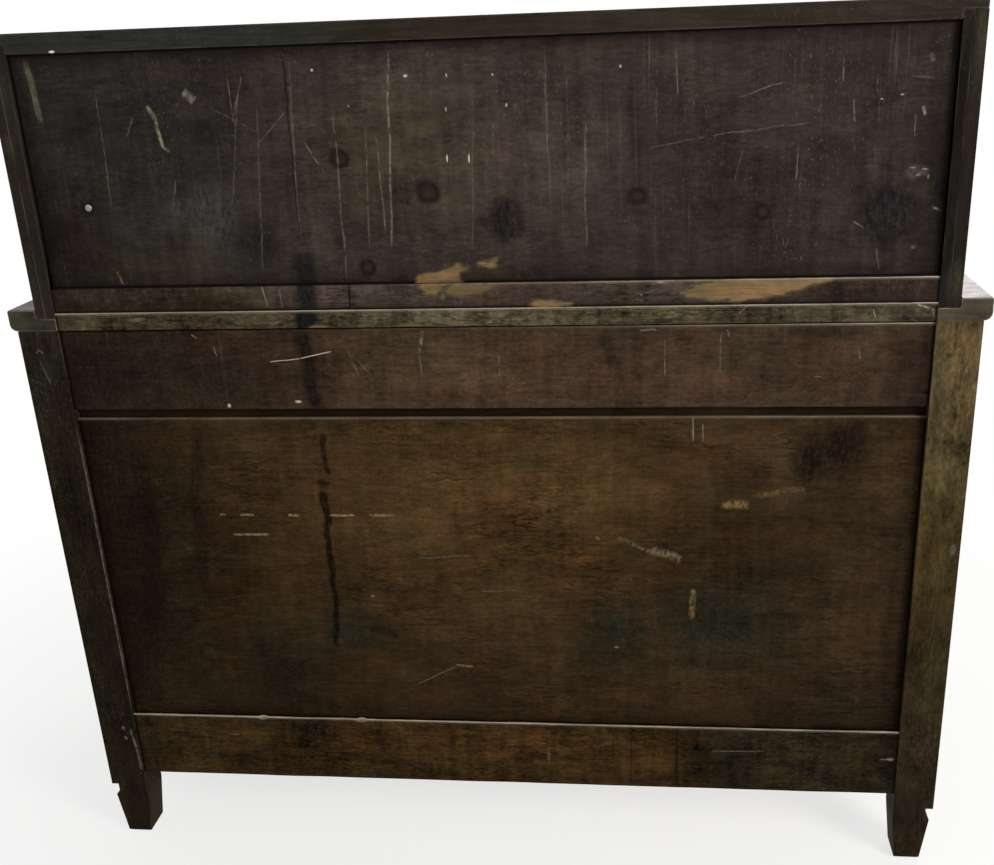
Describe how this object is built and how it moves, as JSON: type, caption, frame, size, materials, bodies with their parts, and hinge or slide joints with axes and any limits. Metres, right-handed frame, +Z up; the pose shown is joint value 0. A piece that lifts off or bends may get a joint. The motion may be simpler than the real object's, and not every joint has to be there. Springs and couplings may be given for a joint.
{
  "type": "secretaire chest",
  "caption": "Stained wood chest of long drawers on tapered feet, with a waist slab and a shallower desk case above whose front falls open to a leather writing surface and pigeonholes.",
  "frame": {"origin": "on the floor under the middle of the chest's box, knobs included", "axes": "+Z up, front towards -Y, +X to the right of a person who faces the front"},
  "size_m": [1.168, 0.53, 1.0995],
  "materials": {
    "stained_frame_wood": "dark stained, worn",
    "stained_back_wood": "dark stained, rough sawn and worn",
    "polished_wood": "dark stained and polished",
    "turned_wood": "dark stained and polished",
    "lining_wood": "bare, planed",
    "brass": "tarnished",
    "iron": "filed",
    "leather": "worn"
  },
  "bodies": {
    "case": {"rear_post_left": "stained_frame_wood", "front_post_left": "polished_wood", "side_top_rail_left": "stained_frame_wood", "side_bottom_rail_left": "stained_frame_wood", "side_panel_left": "polished_wood", "desk_side_left": "polished_wood", "desk_batten_left": "stained_frame_wood", "rear_post_right": "stained_frame_wood", "front_post_right": "polished_wood", "side_top_rail_right": "stained_frame_wood", "side_bottom_rail_right": "stained_frame_wood", "side_panel_right": "polished_wood", "desk_side_right": "polished_wood", "desk_batten_right": "stained_frame_wood", "back_board": "stained_back_wood", "back_panel": "stained_back_wood", "back_bottom_rail": "stained_frame_wood", "front_top_rail": "polished_wood", "drawer_divider_upper": "polished_wood", "drawer_divider_lower": "polished_wood", "front_bottom_rail": "polished_wood", "drawer_runners": "lining_wood", "drawer_stops": "lining_wood", "case_bottom": "lining_wood", "waist_slab": "polished_wood", "slab_rear_strip": "stained_frame_wood", "top_board": "polished_wood", "desk_back_panel": "stained_back_wood", "desk_back_rail": "stained_frame_wood", "desk_floor": "lining_wood", "pigeonhole_shelf": "lining_wood", "pigeonhole_partitions": "lining_wood", "pivot_bushes": "brass"},
    "fall": {"fall_board": "polished_wood", "writing_leather": "leather", "fall_pivots": "brass", "fall_lock_case": "brass", "fall_escutcheon": "brass"},
    "lock_bolt": {"fall_lock_bolt": "iron"},
    "upper_drawer": {"upper_drawer_front": "polished_wood", "upper_drawer_side_left": "lining_wood", "upper_drawer_side_right": "lining_wood", "upper_drawer_back": "lining_wood", "upper_drawer_bottom": "lining_wood", "upper_drawer_knobs": "turned_wood"},
    "middle_drawer": {"middle_drawer_front": "polished_wood", "middle_drawer_side_left": "lining_wood", "middle_drawer_side_right": "lining_wood", "middle_drawer_back": "lining_wood", "middle_drawer_bottom": "lining_wood", "middle_drawer_knobs": "turned_wood"},
    "lower_drawer": {"lower_drawer_front": "polished_wood", "lower_drawer_side_left": "lining_wood", "lower_drawer_side_right": "lining_wood", "lower_drawer_back": "lining_wood", "lower_drawer_bottom": "lining_wood", "lower_drawer_knobs": "turned_wood"}
  },
  "joints": [
    {"name": "fall_hinge", "type": "hinge", "parent": "case", "child": "fall", "pos_m": [0, -0.064, 0.7945], "axis": [1, 0, 0], "range_deg": [0, 90]},
    {"name": "lock_bolt_slide", "type": "slide", "parent": "fall", "child": "lock_bolt", "axis": [0, 0, 1], "range_m": [0, 0.008]},
    {"name": "upper_drawer_slide", "type": "slide", "parent": "case", "child": "upper_drawer", "axis": [0, -1, 0], "range_m": [0, 0.32]},
    {"name": "middle_drawer_slide", "type": "slide", "parent": "case", "child": "middle_drawer", "axis": [0, -1, 0], "range_m": [0, 0.32]},
    {"name": "lower_drawer_slide", "type": "slide", "parent": "case", "child": "lower_drawer", "axis": [0, -1, 0], "range_m": [0, 0.32]}
  ]
}
